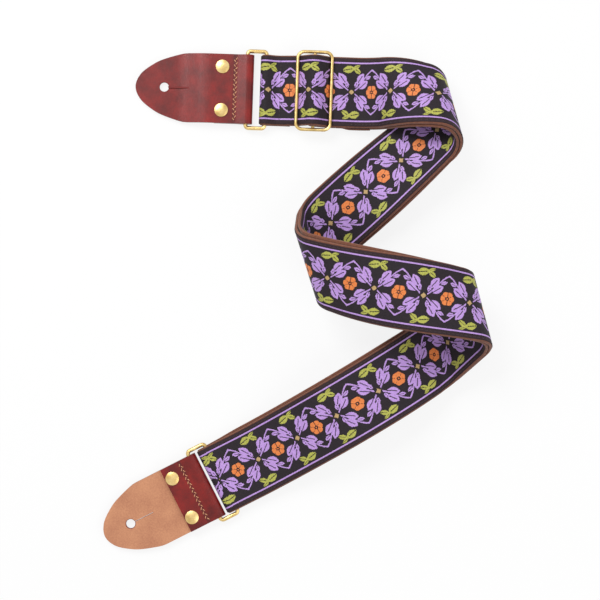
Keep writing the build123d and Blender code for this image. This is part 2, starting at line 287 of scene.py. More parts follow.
def strip(name, stops, width, faces, run_on, drift):
    """Closed band of cloth with rounded edges.

    faces gives the distances of its two faces at a stop; for a length along the lay, run_on gives
    the length along the cloth, and drift how far the band has moved sideways.
    The UV map holds the place on the flat cloth: across and along, in metres.
    """
    rounding = 5
    verts, coordinates = [], []
    for stop in stops:
        near, far = faces(stop)
        middle, half = (near + far) / 2, (far - near) / 2
        radius = min(abs(half), 0.95)
        flat = width / 2 - radius
        ring = []
        for index in range(CLOTH_COLUMNS + 1):
            ring.append((flat * (2 * index / CLOTH_COLUMNS - 1), far))
        for index in range(1, rounding):
            angle = math.pi * (0.5 - index / rounding)
            ring.append((flat + radius * math.cos(angle), middle + half * math.sin(angle)))
        for index in range(CLOTH_COLUMNS + 1):
            ring.append((flat * (1 - 2 * index / CLOTH_COLUMNS), near))
        for index in range(1, rounding):
            angle = math.pi * (-0.5 - index / rounding)
            ring.append((-flat + radius * math.cos(angle), middle + half * math.sin(angle)))
        side = drift(stop.walked)
        for across, out in ring:
            verts.append((stop.point(across + side, out) + SHIFT) * MM)
            coordinates.append((across * MM, run_on(stop.walked + across * stop.slope) * MM))
    size = len(ring)
    polygons = []
    for row in range(len(stops) - 1):
        for index in range(size):
            after = (index + 1) % size
            quad = (index, after, after + size, index + size)
            polygons.append([row * size + corner for corner in quad])
    last = (len(stops) - 1) * size
    polygons.append(list(range(size))[::-1])
    polygons.append([last + index for index in range(size)])
    mesh = bpy.data.meshes.new(name)
    mesh.from_pydata(verts, [], polygons)
    layer = mesh.uv_layers.new(name="UVMap")
    for loop in mesh.loops:
        layer.data[loop.index].uv = coordinates[loop.vertex_index]
    work = bmesh.new()
    work.from_mesh(mesh)
    bmesh.ops.recalc_face_normals(work, faces=work.faces)
    work.to_mesh(mesh)
    work.free()
    mesh.shade_smooth()
    mesh.set_sharp_from_angle(angle=math.radians(60))
    return add_object(name, mesh)


# Colours and materials -----------------------------------------------------------------------


def colour(code):
    """Linear colour of an sRGB hex value."""
    parts = [int(code[index : index + 2], 16) / 255 for index in (1, 3, 5)]
    linear = [c / 12.92 if c <= 0.04045 else ((c + 0.055) / 1.055) ** 2.4 for c in parts]
    return (*linear, 1.0)


def put(tree, kind, inputs=(), **settings):
    """Adds a node with its settings, its values and its links, and gives its first output."""
    node = tree.nodes.new(kind)
    for key, value in settings.items():
        setattr(node, key, value)
    for key, value in dict(inputs).items():
        if isinstance(value, bpy.types.NodeSocket):
            tree.links.new(value, node.inputs[key])
        else:
            node.inputs[key].default_value = value
    return node.outputs[0] if node.outputs else node


def new_material(name, **values):
    """A material with a Principled shader whose plain values are set on its own sockets."""
    material = bpy.data.materials.new(name)
    material.use_nodes = True
    tree = material.node_tree
    tree.nodes.clear()
    shader = put(tree, "ShaderNodeBsdfPrincipled")
    put(tree, "ShaderNodeOutputMaterial", {"Surface": shader})
    for key, value in values.items():
        shader.node.inputs[key.replace("_", " ")].default_value = value
    return material, tree, shader.node


def jacquard():
    """Rayon jacquard ribbon: satin floats on a dark ground, stepped thread by thread.

    A leafy lavender trellis goes round orange rosettes 33 mm apart, with lime sprigs beside the
    pinstripes and a tan diamond where the trellis crosses. It gives a crisp silky pattern.
    """
    material, tree, shader = new_material(
        "jacquard ribbon, rayon floats",
        Sheen_Weight=0.05,
        Sheen_Roughness=0.4,
        Specular_IOR_Level=0.3,
    )
    uv = put(tree, "ShaderNodeTexCoord").node.outputs["UV"]
    cloth = put(tree, "ShaderNodeVectorMath", {0: uv, "Scale": 1 / MM}, operation="SCALE")
    # Warp threads 0.35 mm and weft threads 0.45 mm apart: the pattern's outline steps by them.
    stepped = put(
        tree, "ShaderNodeVectorMath", {0: cloth, 1: (0.35, 0.45, 1.0)}, operation="SNAP"
    )
    parts = put(tree, "ShaderNodeSeparateXYZ", {0: stepped}).node.outputs
    across, along = parts[0], parts[1]
    repeat = 32.8
    beside = put(tree, "ShaderNodeMath", {0: across}, operation="ABSOLUTE")
    cell = put(
        tree, "ShaderNodeMath", {0: along, 1: repeat / 2, 2: -repeat / 2}, operation="WRAP"
    )
    ahead = put(tree, "ShaderNodeMath", {0: cell}, operation="ABSOLUTE")
    quarter = put(tree, "ShaderNodeCombineXYZ", {0: ahead, 1: beside})

    def leaf(space, place, angle, length, width):
        """Mask of a pointed leaf with a dark midrib."""
        local = put(
            tree,
            "ShaderNodeMapping",
            {
                "Vector": space,
                "Location": (*place, 0),
                "Rotation": (0, 0, math.radians(angle)),
                "Scale": (length, width, 1),
            },
            vector_type="TEXTURE",
        )
        x, y = put(tree, "ShaderNodeSeparateXYZ", {0: local}).node.outputs[:2]
        y = put(tree, "ShaderNodeMath", {0: y}, operation="ABSOLUTE")
        reach = put(tree, "ShaderNodeMath", {0: x, 1: x, 2: y}, operation="MULTIPLY_ADD")
        inside = put(tree, "ShaderNodeMath", {0: reach, 1: 1.0}, operation="LESS_THAN")
        rib = put(tree, "ShaderNodeMath", {0: y, 1: 0.11}, operation="GREATER_THAN")
        tip = put(tree, "ShaderNodeMath", {0: x, 1: 0.55}, operation="GREATER_THAN")
        solid = put(tree, "ShaderNodeMath", {0: rib, 1: tip}, operation="MAXIMUM")
        return put(tree, "ShaderNodeMath", {0: inside, 1: solid}, operation="MULTIPLY")

    def join(masks):
        """One mask that holds all of them."""
        whole = masks[0]
        for mask in masks[1:]:
            whole = put(tree, "ShaderNodeMath", {0: whole, 1: mask}, operation="MAXIMUM")
        return whole

    # The trellis goes out from the tan diamond to the edge and back, in a gentle wave.
    turn = put(tree, "ShaderNodeMath", {0: ahead, 1: math.tau / 16}, operation="MULTIPLY")
    wave = put(tree, "ShaderNodeMath", {0: turn}, operation="SINE")
    rise = put(
        tree, "ShaderNodeMath", {0: ahead, 1: -15.5 / 16, 2: 15.5}, operation="MULTIPLY_ADD"
    )
    line = put(tree, "ShaderNodeMath", {0: wave, 1: 0.9, 2: rise}, operation="MULTIPLY_ADD")
    vine = put(tree, "ShaderNodeMath", {0: beside, 1: line, 2: 0.62}, operation="COMPARE")
    far_end = put(tree, "ShaderNodeMath", {0: ahead, 1: 14.0}, operation="LESS_THAN")
    vine = put(tree, "ShaderNodeMath", {0: vine, 1: far_end}, operation="MULTIPLY")
    lavender = [vine]
    for place, angle, length, width in (
        ((9.9, 9.4), 126, 4.6, 2.7),
        ((7.4, 5.2), 144, 4.6, 2.6),
        ((13.1, 5.4), 104, 2.6, 1.3),
        ((3.4, 10.2), 158, 2.6, 1.3),
    ):
        lavender.append(leaf(quarter, place, angle, length, width))
    stripe = put(tree, "ShaderNodeMath", {0: beside, 1: 20.4, 2: 0.5}, operation="COMPARE")
    lavender = join(lavender + [stripe])

    # Lime sprigs sit half way between two rosettes, and turn half round on the other side.
    half = put(tree, "ShaderNodeMath", {0: along, 1: repeat / 2}, operation="ADD")
    half = put(
        tree, "ShaderNodeMath", {0: half, 1: repeat / 2, 2: -repeat / 2}, operation="WRAP"
    )
    sign = put(tree, "ShaderNodeMath", {0: across}, operation="SIGN")
    half = put(tree, "ShaderNodeMath", {0: half, 1: sign}, operation="MULTIPLY")
    sprig = put(tree, "ShaderNodeCombineXYZ", {0: half, 1: beside})
    lime = [
        leaf(sprig, (-2.3, 15.9), 12, 4.4, 2.6),
        leaf(sprig, (3.9, 14.9), 146, 3.3, 1.7),
        leaf(sprig, (3.4, 17.8), 200, 2.9, 1.1),
    ]
    lime = join(lime)

    # Rosette of six petals with a dark eye, and the tan diamond.
    flower = put(tree, "ShaderNodeCombineXYZ", {0: cell, 1: across})
    radius = put(tree, "ShaderNodeVectorMath", {0: flower}, operation="LENGTH").node.outputs[1]
    angle = put(tree, "ShaderNodeMath", {0: across, 1: cell}, operation="ARCTAN2")
    angle = put(tree, "ShaderNodeMath", {0: angle, 1: 3.0}, operation="MULTIPLY")
    lobe = put(tree, "ShaderNodeMath", {0: angle}, operation="COSINE")
    lobe = put(tree, "ShaderNodeMath", {0: lobe}, operation="ABSOLUTE")
    reach = put(tree, "ShaderNodeMath", {0: lobe, 1: 0.6, 2: 4.2}, operation="MULTIPLY_ADD")
    petals = put(tree, "ShaderNodeMath", {0: radius, 1: reach}, operation="LESS_THAN")
    gap = put(tree, "ShaderNodeMath", {0: lobe, 1: radius}, operation="MULTIPLY")
    split = put(tree, "ShaderNodeMath", {0: gap, 1: 0.3}, operation="GREATER_THAN")
    petals = put(tree, "ShaderNodeMath", {0: petals, 1: split}, operation="MULTIPLY")
    eye = put(tree, "ShaderNodeMath", {0: radius, 1: 1.3}, operation="GREATER_THAN")
    petals = put(tree, "ShaderNodeMath", {0: petals, 1: eye}, operation="MULTIPLY")
    seed = put(tree, "ShaderNodeMath", {0: radius, 1: 0.55}, operation="LESS_THAN")
    orange = join([petals, seed])
    short = put(tree, "ShaderNodeMath", {0: repeat / 2, 1: ahead}, operation="SUBTRACT")
    diamond = put(tree, "ShaderNodeMath", {0: short, 1: beside}, operation="ADD")
    diamond = put(tree, "ShaderNodeMath", {0: diamond, 1: 1.9}, operation="LESS_THAN")

    # Each yarn varies a little along its length.
    yarn = put(
        tree,
        "ShaderNodeTexNoise",
        {"Vector": stepped, "Scale": 0.9, "Detail": 3.0, "Roughness": 0.7},
    )
    soft = put(tree, "ShaderNodeMapRange", {0: yarn, 1: 0.3, 2: 0.7, 3: 0.0, 4: 1.0})
    border = put(tree, "ShaderNodeMath", {0: beside, 1: 21.0}, operation="GREATER_THAN")
    paint = put(
        tree,
        "ShaderNodeMix",
        {0: soft, 6: colour("#120c11"), 7: colour("#261c24")},
        data_type="RGBA",
    ).node.outputs[2]
    edge = put(
        tree,
        "ShaderNodeMix",
        {0: soft, 6: colour("#1a0f12"), 7: colour("#321f26")},
        data_type="RGBA",
    ).node.outputs[2]
    paint = put(
        tree, "ShaderNodeMix", {0: border, 6: paint, 7: edge}, data_type="RGBA"
    ).node.outputs[2]
    for mask, dull, bright in (
        (lavender, "#a981c9", "#c9a5e4"),
        (lime, "#9b9a3c", "#bfc062"),
        (orange, "#cf6a30", "#ee9152"),
        (diamond, "#a98a5c", "#c9ab78"),
    ):
        thread = put(
            tree,
            "ShaderNodeMix",
            {0: soft, 6: colour(dull), 7: colour(bright)},
            data_type="RGBA",
        ).node.outputs[2]
        paint = put(
            tree, "ShaderNodeMix", {0: mask, 6: paint, 7: thread}, data_type="RGBA"
        ).node.outputs[2]
    tree.links.new(paint, shader.inputs["Base Color"])

    # Floats lie raised on the ground; the ground shows its weft ribs, drawn 0.9 mm apart.
    raised = join([lavender, lime, orange, diamond])
    u, v = put(tree, "ShaderNodeSeparateXYZ", {0: cloth}).node.outputs[:2]
    weft = put(tree, "ShaderNodeMath", {0: v, 1: math.tau / 0.9}, operation="MULTIPLY")
    weft = put(tree, "ShaderNodeMath", {0: weft}, operation="SINE")
    warp = put(tree, "ShaderNodeMath", {0: u, 1: math.tau / 0.7}, operation="MULTIPLY")
    warp = put(tree, "ShaderNodeMath", {0: warp}, operation="SINE")
    weave = put(tree, "ShaderNodeMath", {0: warp, 1: weft}, operation="MULTIPLY")
    weave = put(tree, "ShaderNodeMath", {0: weave, 1: 0.25, 2: raised}, operation="MULTIPLY_ADD")
    bump = put(tree, "ShaderNodeBump", {"Height": weave, "Strength": 0.6, "Distance": 0.00012})
    tree.links.new(bump, shader.inputs["Normal"])
    rough = put(tree, "ShaderNodeMapRange", {0: raised, 1: 0.0, 2: 1.0, 3: 0.72, 4: 0.5})
    tree.links.new(rough, shader.inputs["Roughness"])
    return material


def backing_web():
    """Cotton webbing: dull, brown, with ribs along its length and fuzz all over."""
    material, tree, shader = new_material(
        "brown cotton webbing", Sheen_Weight=0.2, Sheen_Roughness=0.6, Roughness=0.85
    )
    uv = put(tree, "ShaderNodeTexCoord").node.outputs["UV"]
    cloth = put(tree, "ShaderNodeVectorMath", {0: uv, "Scale": 1 / MM}, operation="SCALE")
    u, v = put(tree, "ShaderNodeSeparateXYZ", {0: cloth}).node.outputs[:2]
    # Ribs 1.1 mm apart, each thread crossing them every 0.8 mm.
    ribs = put(tree, "ShaderNodeMath", {0: u, 1: math.tau / 1.1}, operation="MULTIPLY")
    ribs = put(tree, "ShaderNodeMath", {0: ribs}, operation="SINE")
    slant = put(tree, "ShaderNodeMath", {0: u, 1: 0.5, 2: v}, operation="MULTIPLY_ADD")
    knots = put(tree, "ShaderNodeMath", {0: slant, 1: math.tau / 0.8}, operation="MULTIPLY")
    knots = put(tree, "ShaderNodeMath", {0: knots}, operation="SINE")
    weave = put(tree, "ShaderNodeMath", {0: knots, 1: 0.5, 2: ribs}, operation="MULTIPLY_ADD")
    fuzz = put(
        tree,
        "ShaderNodeTexNoise",
        {"Vector": cloth, "Scale": 0.6, "Detail": 5.0, "Roughness": 0.75},
    )
    height = put(tree, "ShaderNodeMath", {0: fuzz, 1: 2.0, 2: weave}, operation="MULTIPLY_ADD")
    bump = put(tree, "ShaderNodeBump", {"Height": height, "Strength": 0.5, "Distance": 0.00015})
    tree.links.new(bump, shader.inputs["Normal"])
    tone = put(tree, "ShaderNodeMath", {0: weave, 1: 0.12, 2: fuzz}, operation="MULTIPLY_ADD")
    soft = put(tree, "ShaderNodeMapRange", {0: tone, 1: 0.3, 2: 0.75, 3: 0.0, 4: 1.0})
    paint = put(
        tree,
        "ShaderNodeMix",
        {0: soft, 6: colour("#5c3120"), 7: colour("#8a5238")},
        data_type="RGBA",
    ).node.outputs[2]
    tree.links.new(paint, shader.inputs["Base Color"])
    return material


def grain_leather(seams):
    """Vegetable-tanned oxblood cowhide, glazed: fine pores, soft gloss, darker mottling.

    seams holds the two lengths along the leather at which it is sewn.
    """
    material, tree, shader = new_material(
        "oxblood bridle leather, grain side",
        Coat_Weight=0.08,
        Coat_Roughness=0.2,
        Specular_IOR_Level=0.35,
    )
    uv = put(tree, "ShaderNodeTexCoord").node.outputs["UV"]
    skin = put(tree, "ShaderNodeVectorMath", {0: uv, "Scale": 1 / MM}, operation="SCALE")
    along = put(tree, "ShaderNodeSeparateXYZ", {0: skin}).node.outputs[1]
    cloud = put(
        tree, "ShaderNodeTexNoise", {"Vector": skin, "Scale": 0.07, "Detail": 4.0, "Roughness": 0.6}
    )
    pores = put(
        tree, "ShaderNodeTexVoronoi", {"Vector": skin, "Scale": 1.1}, feature="DISTANCE_TO_EDGE"
    )
    crease = put(
        tree, "ShaderNodeTexNoise", {"Vector": skin, "Scale": 0.9, "Detail": 5.0, "Roughness": 0.7}
    )
    mottle = put(tree, "ShaderNodeMapRange", {0: cloud, 1: 0.35, 2: 0.68, 3: 0.0, 4: 1.0})
    paint = put(
        tree,
        "ShaderNodeMix",
        {0: mottle, 6: colour("#5e0d0b"), 7: colour("#8c1a15")},
        data_type="RGBA",
    ).node.outputs[2]
    fleck = put(tree, "ShaderNodeMapRange", {0: crease, 1: 0.45, 2: 0.75, 3: 0.0, 4: 0.35})
    paint = put(
        tree, "ShaderNodeMix", {0: fleck, 6: paint, 7: colour("#3f0908")}, data_type="RGBA"
    ).node.outputs[2]
    # The thread pulls the leather into a shallow groove along each seam; the groove is also painted
    # darker, as painted shade.
    seam_groove_and_painted_shade = []
    for seam in seams:
        seam_groove_and_painted_shade.append(
            put(tree, "ShaderNodeMath", {0: along, 1: seam, 2: 1.2}, operation="COMPARE")
        )
    seam_groove_and_painted_shade = put(tree, "ShaderNodeMath", {0: seam_groove_and_painted_shade[0], 1: seam_groove_and_painted_shade[1]}, operation="MAXIMUM")
    # Painted shade: the seam grooves are drawn darker in the leather's colour.
    paint = put(
        tree,
        "ShaderNodeMix",
        {
            0: put(tree, "ShaderNodeMath", {0: seam_groove_and_painted_shade, 1: 0.55}, operation="MULTIPLY"),
            6: paint,
            7: colour("#430b0a"),
        },
        data_type="RGBA",
    ).node.outputs[2]
    tree.links.new(paint, shader.inputs["Base Color"])
    relief = put(tree, "ShaderNodeMath", {0: pores, 1: 0.6, 2: crease}, operation="MULTIPLY_ADD")
    relief = put(tree, "ShaderNodeMath", {0: seam_groove_and_painted_shade, 1: -1.2, 2: relief}, operation="MULTIPLY_ADD")
    bump = put(tree, "ShaderNodeBump", {"Height": relief, "Strength": 0.35, "Distance": 0.00025})
    tree.links.new(bump, shader.inputs["Normal"])
    rough = put(tree, "ShaderNodeMapRange", {0: crease, 1: 0.3, 2: 0.7, 3: 0.3, 4: 0.46})
    tree.links.new(rough, shader.inputs["Roughness"])
    return material


def flesh_leather():
    """Flesh side of the cowhide: pale tan, matt and fibrous."""
    material, tree, shader = new_material(
        "tan leather, flesh side", Sheen_Weight=0.25, Sheen_Roughness=0.7, Roughness=0.9
    )
    uv = put(tree, "ShaderNodeTexCoord").node.outputs["UV"]
    skin = put(tree, "ShaderNodeVectorMath", {0: uv, "Scale": 1 / MM}, operation="SCALE")
    fibre = put(
        tree, "ShaderNodeTexNoise", {"Vector": skin, "Scale": 0.8, "Detail": 8.0, "Roughness": 0.8}
    )
    cloud = put(
        tree, "ShaderNodeTexNoise", {"Vector": skin, "Scale": 0.06, "Detail": 2.0, "Roughness": 0.5}
    )
    tone = put(tree, "ShaderNodeMath", {0: cloud, 1: 0.6, 2: fibre}, operation="MULTIPLY_ADD")
    soft = put(tree, "ShaderNodeMapRange", {0: tone, 1: 0.55, 2: 1.05, 3: 0.0, 4: 1.0})
    paint = put(
        tree,
        "ShaderNodeMix",
        {0: soft, 6: colour("#a9694a"), 7: colour("#d6966c")},
        data_type="RGBA",
    ).node.outputs[2]
    tree.links.new(paint, shader.inputs["Base Color"])
    bump = put(tree, "ShaderNodeBump", {"Height": fibre, "Strength": 0.5, "Distance": 0.0003})
    tree.links.new(bump, shader.inputs["Normal"])
    return material


def burnished_edge():
    """Cut edge of the leather, rubbed smooth with wax: dark, with faint layers."""
    material, tree, shader = new_material("burnished leather edge", Roughness=0.42)
    place = put(tree, "ShaderNodeTexCoord").node.outputs["Object"]
    layers = put(
        tree,
        "ShaderNodeTexNoise",
        {"Vector": place, "Scale": 900.0, "Detail": 4.0, "Roughness": 0.6},
    )
    paint = put(
        tree,
        "ShaderNodeMix",
        {0: layers, 6: colour("#3f100c"), 7: colour("#6e241a")},
        data_type="RGBA",
    ).node.outputs[2]
    tree.links.new(paint, shader.inputs["Base Color"])
    bump = put(tree, "ShaderNodeBump", {"Height": layers, "Strength": 0.3, "Distance": 0.0002})
    tree.links.new(bump, shader.inputs["Normal"])
    return material


def brass():
    """Tumbled brass: warm, bright, with fine wear marks and duller patches."""
    material, tree, shader = new_material("tumbled brass", Metallic=1.0)
    place = put(tree, "ShaderNodeTexCoord").node.outputs["Object"]
    patches = put(
        tree,
        "ShaderNodeTexNoise",
        {"Vector": place, "Scale": 220.0, "Detail": 4.0, "Roughness": 0.6},
    )
    marks = put(
        tree,
        "ShaderNodeTexNoise",
        {"Vector": place, "Scale": 1600.0, "Detail": 6.0, "Roughness": 0.75},
    )
    dull = put(tree, "ShaderNodeMapRange", {0: patches, 1: 0.35, 2: 0.7, 3: 0.0, 4: 1.0})
    paint = put(
        tree,
        "ShaderNodeMix",
        {0: dull, 6: colour("#e3c88b"), 7: colour("#c2a262")},
        data_type="RGBA",
    ).node.outputs[2]
    tree.links.new(paint, shader.inputs["Base Color"])
    rough = put(tree, "ShaderNodeMapRange", {0: marks, 1: 0.3, 2: 0.7, 3: 0.26, 4: 0.42})
    tree.links.new(rough, shader.inputs["Roughness"])
    bump = put(tree, "ShaderNodeBump", {"Height": marks, "Strength": 0.12, "Distance": 0.0001})
    tree.links.new(bump, shader.inputs["Normal"])
    return material


def sewing_thread(name, dark, light):
    """Twisted polyester sewing thread with a dull shine; its twist is painted in light and dark
    bands, which are painted shade and painted highlight.
    """
    material, tree, shader = new_material(name, Roughness=0.55, Sheen_Weight=0.1)
    place = put(tree, "ShaderNodeTexCoord").node.outputs["Object"]
    twist_relief_and_painted_shade = put(
        tree,
        "ShaderNodeTexWave",
        {"Vector": place, "Scale": 900.0, "Distortion": 1.5, "Detail": 1.0},
        bands_direction="DIAGONAL",
    ).node.outputs["Fac"]
    paint = put(
        # Painted shade and painted highlight: light and dark bands along the twist.
        tree, "ShaderNodeMix", {0: twist_relief_and_painted_shade, 6: colour(dark), 7: colour(light)}, data_type="RGBA"
    ).node.outputs[2]
    tree.links.new(paint, shader.inputs["Base Color"])
    bump = put(tree, "ShaderNodeBump", {"Height": twist_relief_and_painted_shade, "Strength": 0.3, "Distance": 0.0001})
    tree.links.new(bump, shader.inputs["Normal"])
    return material


# Stitches ------------------------------------------------------------------------------------


def stitch_tree():
    """Geometry Nodes: one stitch laid at each point, along its direction and on its face."""
    tree = bpy.data.node_groups.new("stitches along a seam", "GeometryNodeTree")
    faces = tree.interface
    faces.new_socket("Seam", in_out="INPUT", socket_type="NodeSocketGeometry")
    for name in ("Stitch length", "Thread radius"):
        faces.new_socket(name, in_out="INPUT", socket_type="NodeSocketFloat")
    faces.new_socket("Thread", in_out="INPUT", socket_type="NodeSocketMaterial")
    faces.new_socket("Stitches", in_out="OUTPUT", socket_type="NodeSocketGeometry")
    given = put(tree, "NodeGroupInput").node.outputs
    bead = put(tree, "GeometryNodeMeshUVSphere", {"Segments": 8, "Rings": 6, "Radius": 1.0})
    half = put(
        tree, "ShaderNodeMath", {0: given["Stitch length"], 1: 0.5}, operation="MULTIPLY"
    )
    size = put(
        tree,
        "ShaderNodeCombineXYZ",
        {0: given["Thread radius"], 1: given["Thread radius"], 2: half},
    )
    bead = put(tree, "GeometryNodeTransform", {"Geometry": bead, "Scale": size})
    along = put(tree, "GeometryNodeInputNamedAttribute", {"Name": "along"}, data_type="FLOAT_VECTOR")
    turned = put(
        tree, "FunctionNodeAlignRotationToVector", {"Vector": along}, axis="Z", pivot_axis="AUTO"
    )
    laid = put(
        tree,
        "GeometryNodeInstanceOnPoints",
        {"Points": given["Seam"], "Instance": bead, "Rotation": turned},
    )
    real = put(tree, "GeometryNodeRealizeInstances", {"Geometry": laid})
    smooth = put(tree, "GeometryNodeSetShadeSmooth", {"Geometry": real})
    thread = put(
        tree, "GeometryNodeSetMaterial", {"Geometry": smooth, "Material": given["Thread"]}
    )
    put(tree, "NodeGroupOutput", {"Stitches": thread})
    return tree


STITCH_TREE = stitch_tree()


def stitches(name, seams, length, radius, thread):
    """Stitches at the given places, each (place, direction) in millimetres."""
    mesh = bpy.data.meshes.new(name)
    mesh.from_pydata([(place + SHIFT) * MM for place, _ in seams], [], [])
    directions = mesh.attributes.new("along", "FLOAT_VECTOR", "POINT")
    for index, (_, direction) in enumerate(seams):
        directions.data[index].vector = direction
    piece = add_object(name, mesh)
    sewing = piece.modifiers.new("Sewing", "NODES")
    sewing.node_group = STITCH_TREE
    values = {"Stitch length": length * MM, "Thread radius": radius * MM, "Thread": thread}
    for socket in STITCH_TREE.interface.items_tree:
        if socket.in_out == "INPUT" and socket.name in values:
            sewing[socket.identifier] = values[socket.name]
    return settle(name, piece)


def seam_on(stops, across, far, pitch, start, end, drift):
    """Places of stitches along a strip, at a distance across it and out of its middle."""
    places = []
    walked = start
    for a, b in zip(stops, stops[1:]):
        while walked <= min(b.walked, end) and b.walked > a.walked:
            share = (walked - a.walked) / (b.walked - a.walked)
            if share < 0:
                break
            side = across + drift(walked)
            near, after = a.point(side, far(walked)), b.point(side, far(walked))
            places.append((near.lerp(after, share), (after - near).normalized()))
            walked += pitch
    return places


# Webbing -------------------------------------------------------------------------------------

RIBBON_CLOTH = jacquard()
WEB_CLOTH = backing_web()
TAN_THREAD = sewing_thread("tan waxed thread", "#b9744a", "#e6b087")
DARK_THREAD = sewing_thread("dark brown sewing thread", "#1c0f10", "#3a2322")


def no_drift(walked):
    return 0.0


def cloth_pair(name, stops, faces, drift, run_on):
    """Backing and ribbon of one ply; faces gives the backing's inner face and its outer side."""
    inner, side = faces
    backing = strip(
        name + "_backing",
        stops,
        STRAP_WIDTH,
        lambda stop: sorted((inner(stop), inner(stop) + side * BACKING)),
        run_on,
        drift,
    )
    ribbon = strip(
        name + "_ribbon",
        stops,
        RIBBON_WIDTH,
        lambda stop: sorted(
            (inner(stop) + side * (BACKING - RIBBON_SUNK), inner(stop) + side * PLY)
        ),
        run_on,
        drift,
    )
    backing.data.materials.append(WEB_CLOTH)
    ribbon.data.materials.append(RIBBON_CLOTH)
    return backing, ribbon


def wander(marks):
    """A ply's sideways wander, given as (length along the lay, distance), smooth between."""

    def drift(walked):
        for (w0, d0), (w1, d1) in zip(marks, marks[1:]):
            if w0 <= walked <= w1:
                return d0 + (d1 - d0) * ease((walked - w0) / (w1 - w0))
        return marks[-1][1]

    return drift


# The sewn plies slip past one another in the turns, so each shows the other's brown edge.
front_marks = [(0, 0), (60, 0), (150, -1.1), (215, -0.9), (290, -0.5), (400, 0.2)]
front_marks += [(480, 1.3), (590, 1.2), (TOTAL, 0.3)]
back_marks = [(0, 0), (50, -0.9), (105, -0.5), (150, 0.3), (225, 0.9), (290, 1.5)]
back_marks += [(370, 0.5), (470, -0.6), (590, -0.5), (TOTAL, -0.1)]
front_drift, back_drift = wander(front_marks), wander(back_marks)

# The ribbon's pattern runs on unbroken round the strap. These say how far it has come where the
# plies leave the slider, and how much more ribbon the back ply takes up, and over which length.
FRONT_START, BACK_START = 6.6, 604.4
TAKEN_UP, TAKEN_FROM, TAKEN_OVER = 14.4, 214, 229


def front_pattern(walked):
    """Where the ribbon's pattern is along the front ply."""
    return walked + FRONT_START


def back_pattern(walked):
    """Where it is along the back ply, which runs the other way."""
    return BACK_START - walked + TAKEN_UP * (1 - ease((walked - TAKEN_FROM) / TAKEN_OVER))


front_pair = cloth_pair(
    "strap_front_ply", FINE, (lambda stop: half_gap(stop.walked), 1), front_drift, front_pattern
)

# Round ring B, whose bar lies a little beyond the plies, from the back ply to the front one.
end = STOPS[-1]
end_x, end_z = end.along, -end.out
BAR_B = 2.0
TAIL = Matrix((end_x, end_z.cross(end_x), end_z)).transposed().to_4x4()
TAIL.translation = end.place + end.along * BAR_B
wrap = WIRE_RADIUS + FIT + PLY / 2
loop_b_stops = pulled_line(
    [(-BAR_B, wrap, 0.0), (0.0, 0.0, wrap), (-BAR_B, -wrap, 0.0)], TAIL, 1.0
)
LOOP_B = loop_b_stops[-1].walked
loop_b_pair = cloth_pair(
    "ring_b_loop",
    loop_b_stops,
    (lambda stop: -PLY / 2, 1),
    no_drift,
    lambda walked: TOTAL + LOOP_B - walked + FRONT_START,
)
back_pair = cloth_pair(
    "strap_back_ply",
    FINE,
    (lambda stop: -half_gap(stop.walked), -1),
    back_drift,
    back_pattern,
)

# The back ply's end goes round the slider's middle bar and is sewn between the plies.
under, over = SLIDER_Z - BACK_Z, SLIDER_Z - SEWN_Z
far_bar = SLIDER_X + SLIDER_SHORT / 2
slider_loop_stops = pulled_line(
    [
        (PLIES_X - APART, BACK_Z, 0.0),
        (far_bar, SLIDER_Z, under),
        (SLIDER_X, SLIDER_Z, SLIDER_WIRE + FIT + PLY / 2),
        (far_bar, SLIDER_Z, -over),
        (PLIES_X, SEWN_Z, 0.0),
    ],
    RUN,
    1.5,
)
reached = slider_loop_stops[-1].walked
for stop in FINE:
    if 0.5 < stop.walked <= SEWN_END:
        slider_loop_stops.append(
            Stop(stop.place, stop.along, stop.out, stop.slope, reached + stop.walked)
        )
slider_loop_pair = cloth_pair(
    "slider_loop",
    slider_loop_stops,
    (lambda stop: -PLY / 2, 1),
    lambda walked: -1.3 * ease((walked - reached - 2) / 8),
    lambda walked: BACK_START + TAKEN_UP + walked,
)

# From the folded tail round ring A, and over the slider's middle bar on to the front ply.
lap, run_in = 10.0, 4.0
bar_gap = SLIDER_WIRE + BAR_CLEAR + PLY / 2
adjuster_stops = pulled_line(
    [
        (TAIL_END_X, BACK_Z, 0.0),
        (RING_A_X, RING_Z, wrap),
        (RING_A_X + 9.0, BACK_Z + PLY + TAIL_GAP + lap, -lap),
        (SLIDER_X - SLIDER_SHORT / 2, SLIDER_Z, -bar_gap),
        (SLIDER_X, SLIDER_Z, SLIDER_WIRE + FIT + PLY + APART + PLY / 2),
        (SLIDER_X + SLIDER_SHORT / 2, SLIDER_Z, -bar_gap),
        (PLIES_X, FRONT_Z, 0.0),
        (PLIES_X + run_in, FRONT_Z + 0.06, 0.0),
    ],
    RUN,
    1.8,
)
ADJUSTER = adjuster_stops[-1].walked - run_in
adjuster_pair = cloth_pair(
    "adjuster",
    adjuster_stops,
    (lambda stop: -PLY / 2, 1),
    no_drift,
    lambda walked: walked - ADJUSTER + FRONT_START,
)

# The adjuster run and its loop round ring A go with no single body: their meshes are baked in place.
BODY_OF = (
    (front_pair, "strap", [f"front_{number}" for number in (1, 2, 3)]),
    (back_pair, "strap", [f"back_{number}" for number in (1, 2, 3)]),
    (loop_b_pair, "strap", ["loop_b"]),
    (slider_loop_pair, "slider", ["slider_loop", "sewn_end"]),
    (adjuster_pair, None, ["adjuster", "loop_a"]),
)
for pair, body, parts in BODY_OF:
    for piece, cloth in zip(pair, ("webbing_", "ribbon_")):
        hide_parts(*(cloth + part for part in parts))
        if body:
            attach(piece, body)
        else:
            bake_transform(piece)

